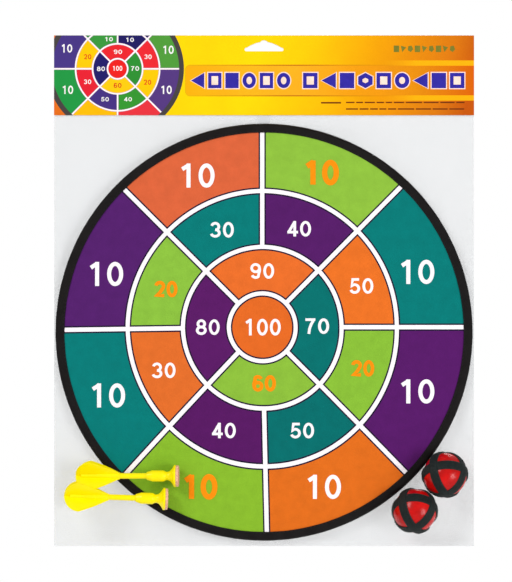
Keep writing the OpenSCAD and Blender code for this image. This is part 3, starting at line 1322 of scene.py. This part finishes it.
def moulded_yellow():
    """Moulded polystyrene, glossy and bright, with faint flow marks."""
    made, tree, shader = new_material("moulded_polystyrene", Roughness=0.3)
    shader.inputs["IOR"].default_value = 1.55
    shader.inputs["Specular IOR Level"].default_value = 0.16
    mottle(tree, shader, linear("#ffec00"), 12 * MM, 3.0, 0.98, 1.02)
    place = add(tree, "ShaderNodeTexCoord").outputs["Object"]
    flow = add(tree, "ShaderNodeTexNoise", {"Vector": place, "Scale": 220, "Detail": 2})
    raise_surface(tree, shader, flow.outputs["Fac"], 0.06 * MM)
    return made


def hook_plastic(name, colour):
    """Nylon hook tape: a dense bristle, dull with small bright points."""
    made, tree, shader = new_material(name, Roughness=0.5, Sheen_Weight=0.06)
    shader.inputs["Specular IOR Level"].default_value = 0.2
    mottle(tree, shader, linear(colour), 2.2 * MM, 3.0, 0.75, 1.25)
    raise_surface(tree, shader, weave_height(tree, 1.0 * MM, ("X", "Y")), 0.2 * MM)
    return made


def dart_axes(number):
    """A dart's own frame: its origin at the tail and +X towards the hook pad."""
    # the shaft's corners all lie on the rims of its two ends
    points = node_points(f"dart_{number}_shaft")
    middle = (points[:, 0].min() + points[:, 0].max()) / 2
    ends = [points[points[:, 0] < middle].mean(0), points[points[:, 0] > middle].mean(0)]
    way = (ends[1] - ends[0]) / np.linalg.norm(ends[1] - ends[0])
    flight = node_points(f"dart_{number}_flight") @ way
    tail = ends[0] + way * (flight.min() - ends[0] @ way)
    x = Vector(way)
    y = Vector((0, 0, 1)).cross(x).normalized()
    z = x.cross(y)
    turn = Matrix((x, y, z)).transposed().to_4x4()
    return Matrix.Translation(tail) @ turn


SLEEVE_START = 7 * MM  # from the tail to where the flight's sleeve begins


def leaf(length, half_width, widest, root, thickness):
    """Two opposite vanes in one plane: a round tail, then a long taper to the shaft."""
    side = []
    for k in range(17):
        angle = math.pi / 2 * k / 16
        side.append((widest * (1 - math.cos(angle)), half_width * math.sin(angle)))
    for k in range(1, 17):
        t = k / 16
        bulge = 0.9 * MM * math.sin(math.pi * t)
        side.append((widest + (length - widest) * t, half_width + (root - half_width) * t + bulge))
    outline = side + [(x, -y) for x, y in reversed(side[1:])]
    clear_selection()
    bpy.ops.mesh.primitive_circle_add(vertices=len(outline), radius=1, fill_type="NGON")
    shape = bpy.context.object
    for vertex, (x, y) in zip(shape.data.vertices, outline):
        vertex.co = (x, y, 0)
    outwards(shape)
    modify(shape, "SOLIDIFY", thickness=thickness, offset=0)
    modify(shape, "BEVEL", width=thickness * 0.35, segments=2, limit_method="ANGLE")
    return shape


class DARTBOARD_OT_darts(bpy.types.Operator):
    """Makes the darts' flights and hook pads, and paints their moulded bodies"""

    bl_idname = "dartboard.darts"
    bl_label = "Darts"

    def execute(self, context):
        settings = context.scene.dartboard_toys
        yellow = moulded_yellow()
        bristle = hook_plastic("nylon_hook_pad", "#eeb99d")
        for number in (1, 2):
            body = f"dart_{number}"
            place = dart_axes(number)
            for part in ("shaft", "barrel", "head"):
                paint_node(f"{body}_{part}", yellow)
            flat = [place.inverted() @ Vector(p) for p in node_points(f"{body}_flight")]
            length = max(p.x for p in flat)
            reach = max(math.hypot(p.y, p.z) for p in flat)
            leaves = [leaf(length, reach, 13 * MM, 3.2 * MM, settings.vane) for _ in (0, 1)]
            for vanes, angle in zip(leaves, (45, 135)):
                turn = place @ Matrix.Rotation(math.radians(angle), 4, "X")
                vanes.data.transform(turn)
            clear_selection()
            bpy.ops.mesh.primitive_cylinder_add(
                vertices=40,
                radius=3.3 * MM,
                depth=length - SLEEVE_START,
                location=((length + SLEEVE_START) / 2, 0, 0),
                rotation=(0, math.radians(90), 0),
            )
            sleeve = settle(bpy.context.object)
            modify(sleeve, "BEVEL", width=0.6 * MM, segments=3, limit_method="ANGLE")
            edit(sleeve)
            bpy.ops.mesh.bisect(plane_co=(length / 2, 0, 0), plane_no=(1, 0, 0))
            done()

            def taper(point):
                share = 0.55 + 0.45 * min(1.0, (point.x - SLEEVE_START) / (0.6 * length))
                return Vector((point.x, point.y * share, point.z * share))

            move_points(sleeve, taper)
            sleeve.data.transform(place)
            flight = joined([*leaves, sleeve])
            smooth(flight, 40)
            finish_piece(
                flight, f"{body}_vanes", yellow, body, [f"{body}_flight"]
            )

            pad = [place.inverted() @ Vector(p) for p in node_points(f"{body}_hook_pad")]
            start, end = min(p.x for p in pad), max(p.x for p in pad)
            radius = max(math.hypot(p.y, p.z) for p in pad)
            base_end = end - settings.hook_height
            clear_selection()
            bpy.ops.mesh.primitive_cylinder_add(
                vertices=64,
                radius=radius,
                depth=base_end - start,
                location=((start + base_end) / 2, 0, 0),
                rotation=(0, math.radians(90), 0),
            )
            base = settle(bpy.context.object)
            modify(base, "BEVEL", width=0.3 * MM, segments=2, limit_method="ANGLE")
            base.data.transform(place)
            spots = []
            pitch = settings.hook_pitch
            count = int(radius / pitch) + 1
            stand = Matrix.Rotation(math.radians(90), 4, "Y")
            for row in range(-count, count + 1):
                for column in range(-count, count + 1):
                    y = (column + 0.5 * (row % 2)) * pitch
                    z = row * pitch * math.sqrt(0.75)
                    if math.hypot(y, z) < radius - 0.5 * MM:
                        spot = Matrix.Translation((base_end - 0.1 * MM, y, z)) @ stand
                        spots.append(place @ spot)
            hooks = repeated(one_hook(0.17 * MM, settings.hook_height), spots)
            whole = joined([base, hooks])
            smooth(whole, 40)
            finish_piece(whole, f"{body}_pad", bristle, body, [f"{body}_hook_pad"])
        return {"FINISHED"}


def strap_normal(node, centre):
    """The direction that a strap's ring is square to."""
    points = node_points(node) - np.array(centre)
    _, _, ways = np.linalg.svd(points, full_matrices=False)
    return Vector(ways[2])


class DARTBOARD_OT_balls(bpy.types.Operator):
    """Paints the balls' shells and covers their straps with hooks"""

    bl_idname = "dartboard.balls"
    bl_label = "Balls"

    def execute(self, context):
        settings = context.scene.dartboard_toys
        shell, tree, shader = new_material("moulded_red_polythene", Roughness=0.22)
        shader.inputs["IOR"].default_value = 1.5
        shader.inputs["Specular IOR Level"].default_value = 0.22
        mottle(tree, shader, linear("#c40c0a"), 10 * MM, 3.0, 0.72, 1.14)
        place = add(tree, "ShaderNodeTexCoord").outputs["Object"]
        dents = add(tree, "ShaderNodeTexNoise", {"Vector": place, "Scale": 90, "Detail": 2})
        raise_surface(tree, shader, dents.outputs["Fac"], 0.8 * MM)
        tape = hook_plastic("nylon_hook_strap", "#151f1e")
        for number in (1, 2):
            body = f"ball_{number}"
            halves = [f"{body}_half_{side}" for side in "ab"]
            for node in halves:
                paint_node(node, shell)
            corners = node_points(*halves)
            centre = Vector((corners.min(0) + corners.max(0)) / 2)
            straps = [f"{body}_strap_{letter}" for letter in "abc"]
            ways = [strap_normal(node, centre) for node in straps]
            ring = node_points(straps[0]) - np.array(centre)
            outer = float(np.linalg.norm(ring, axis=1).max())
            half = float(np.abs(ring @ np.array(ways[0])).max())
            lowered = 1 - 0.35 * MM / outer

            bands = []
            for node in straps:
                copy = frame["nodes"][node].copy()
                copy.data = frame["nodes"][node].data.copy()
                copy.parent = None
                bpy.context.scene.collection.objects.link(copy)
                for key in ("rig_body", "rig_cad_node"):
                    del copy[key]
                outwards(copy)
                move_points(copy, lambda p: centre + (p - centre) * lowered)
                bands.append(copy)
            spots = []
            radius = outer * lowered
            around = round(2 * math.pi * radius / settings.hook_pitch)
            rows = max(2, int(2 * half / settings.hook_pitch))
            for index, way in enumerate(ways):
                across = way.orthogonal().normalized()
                forward = way.cross(across)
                for k in range(around):
                    for row in range(rows):
                        angle = 2 * math.pi * (k + 0.5 * (row % 2)) / around
                        lift = ((row + 0.5) / rows - 0.5) * 2 * half
                        flat = math.sqrt(radius**2 - lift**2)
                        arm = (across * math.cos(angle) + forward * math.sin(angle)) * flat
                        arm += way * lift
                        if any(abs(arm.dot(ways[j])) < half for j in range(index)):
                            continue
                        stand = arm.to_track_quat("Z", "X").to_matrix().to_4x4()
                        spots.append(Matrix.Translation(centre + arm * 0.998) @ stand)
            hooks = repeated(one_hook(0.17 * MM, settings.hook_height), spots)
            cover = joined([*bands, hooks])
            smooth(cover, 40)
            finish_piece(cover, f"{body}_hook_tape", tape, body, straps)
        return {"FINISHED"}


# ---------------------------------------------------------------- stage


# Each soft light: its place from the middle of the view, in metres, and its power in watts
LIGHTS = {
    "key": ((-1.3, -1.6, 1.2), 27),
    "fill": ((1.5, -1.6, -0.25), 22),
    "rim": ((0.3, 1.4, 1.1), 18),
}
LIGHT_SIZE = 0.9


def add_light(name, place, aim, size, power):
    """A square soft light at a place, turned to a point."""
    clear_selection()
    bpy.ops.object.light_add(type="AREA", location=place)
    light = bpy.context.object
    light.name = name
    light.data.size = size
    light.data.energy = power
    light.rotation_euler = (Vector(aim) - Vector(place)).to_track_quat("-Z", "Y").to_euler()


class DARTBOARD_OT_stage(bpy.types.Operator):
    """Sets the floor, the soft light and the camera"""

    bl_idname = "dartboard.stage"
    bl_label = "Stage"

    def execute(self, context):
        settings = context.scene.dartboard_stage
        aim = Vector(settings.aim)
        clear_selection()
        bpy.ops.mesh.primitive_plane_add(size=1.6, location=(0, 0, settings.floor))
        floor = bpy.context.object
        floor.name = "studio_floor"
        paper, tree, shader = new_material("pale_paper", Roughness=0.9)
        mottle(tree, shader, linear("#f2f2f2"), 0.2, 3.0, 0.98, 1.01)
        floor.data.materials.append(paper)

        world = bpy.data.worlds.new("studio")
        context.scene.world = world
        world.use_nodes = True
        tree = world.node_tree
        sky = tree.nodes["Background"]
        sky.inputs["Color"].default_value = (1, 1, 1, 1)
        # the room's light is softer than the white that shows behind the set
        seen = add(tree, "ShaderNodeLightPath").outputs["Is Camera Ray"]
        power = add(
            tree, "ShaderNodeMath", {0: seen, 1: 0.55, 2: 0.45}, operation="MULTIPLY_ADD"
        ).outputs[0]
        tree.links.new(power, sky.inputs["Strength"])

        for name, (place, power) in LIGHTS.items():
            add_light(name, aim + Vector(place), aim, LIGHT_SIZE, power)

        clear_selection()
        bpy.ops.object.camera_add(
            location=aim + FRONT * settings.distance, rotation=(math.radians(90), 0, 0)
        )
        camera = bpy.context.object
        camera.data.sensor_fit = "HORIZONTAL"
        camera.data.lens = camera.data.sensor_width * settings.distance / settings.width
        camera.data.clip_end = 20
        context.scene.camera = camera
        context.scene.view_settings.view_transform = "Standard"
        context.scene.view_settings.look = "None"
        return {"FINISHED"}


class DARTBOARD_PT_panel(bpy.types.Panel):
    """The set's makers and sizes in the 3D view's sidebar"""

    bl_idname = "DARTBOARD_PT_panel"
    bl_label = "Dartboard set"
    bl_space_type = "VIEW_3D"
    bl_region_type = "UI"
    bl_category = "Dartboard"

    def draw(self, context):
        for group in GROUPS:
            box = self.layout.box()
            settings = getattr(context.scene, group)
            for name in settings.bl_rna.properties.keys():
                if name not in ("rna_type", "name"):
                    box.prop(settings, name)
        for maker in MAKERS:
            self.layout.operator(maker.bl_idname)


GROUPS = {
    "dartboard_print": DartboardPrintSettings,
    "dartboard_cloth": DartboardClothSettings,
    "dartboard_bag": DartboardBagSettings,
    "dartboard_toys": DartboardToySettings,
    "dartboard_stage": DartboardStageSettings,
}
MAKERS = (
    DARTBOARD_OT_stage,
    DARTBOARD_OT_face,
    DARTBOARD_OT_back,
    DARTBOARD_OT_binding,
    DARTBOARD_OT_hanging_loop,
    DARTBOARD_OT_card,
    DARTBOARD_OT_bag,
    DARTBOARD_OT_darts,
    DARTBOARD_OT_balls,
)


def register():
    for made in (*GROUPS.values(), *MAKERS, DARTBOARD_PT_panel):
        bpy.utils.register_class(made)
    for name, group in GROUPS.items():
        setattr(bpy.types.Scene, name, PointerProperty(type=group))


def unregister():
    for name in GROUPS:
        delattr(bpy.types.Scene, name)
    for made in reversed((*GROUPS.values(), *MAKERS, DARTBOARD_PT_panel)):
        bpy.utils.unregister_class(made)


def main():
    """Makes every piece in order."""
    register()
    for maker in MAKERS:
        family, name = maker.bl_idname.split(".")
        getattr(getattr(bpy.ops, family), name)()


if __name__ == "__main__":
    main()
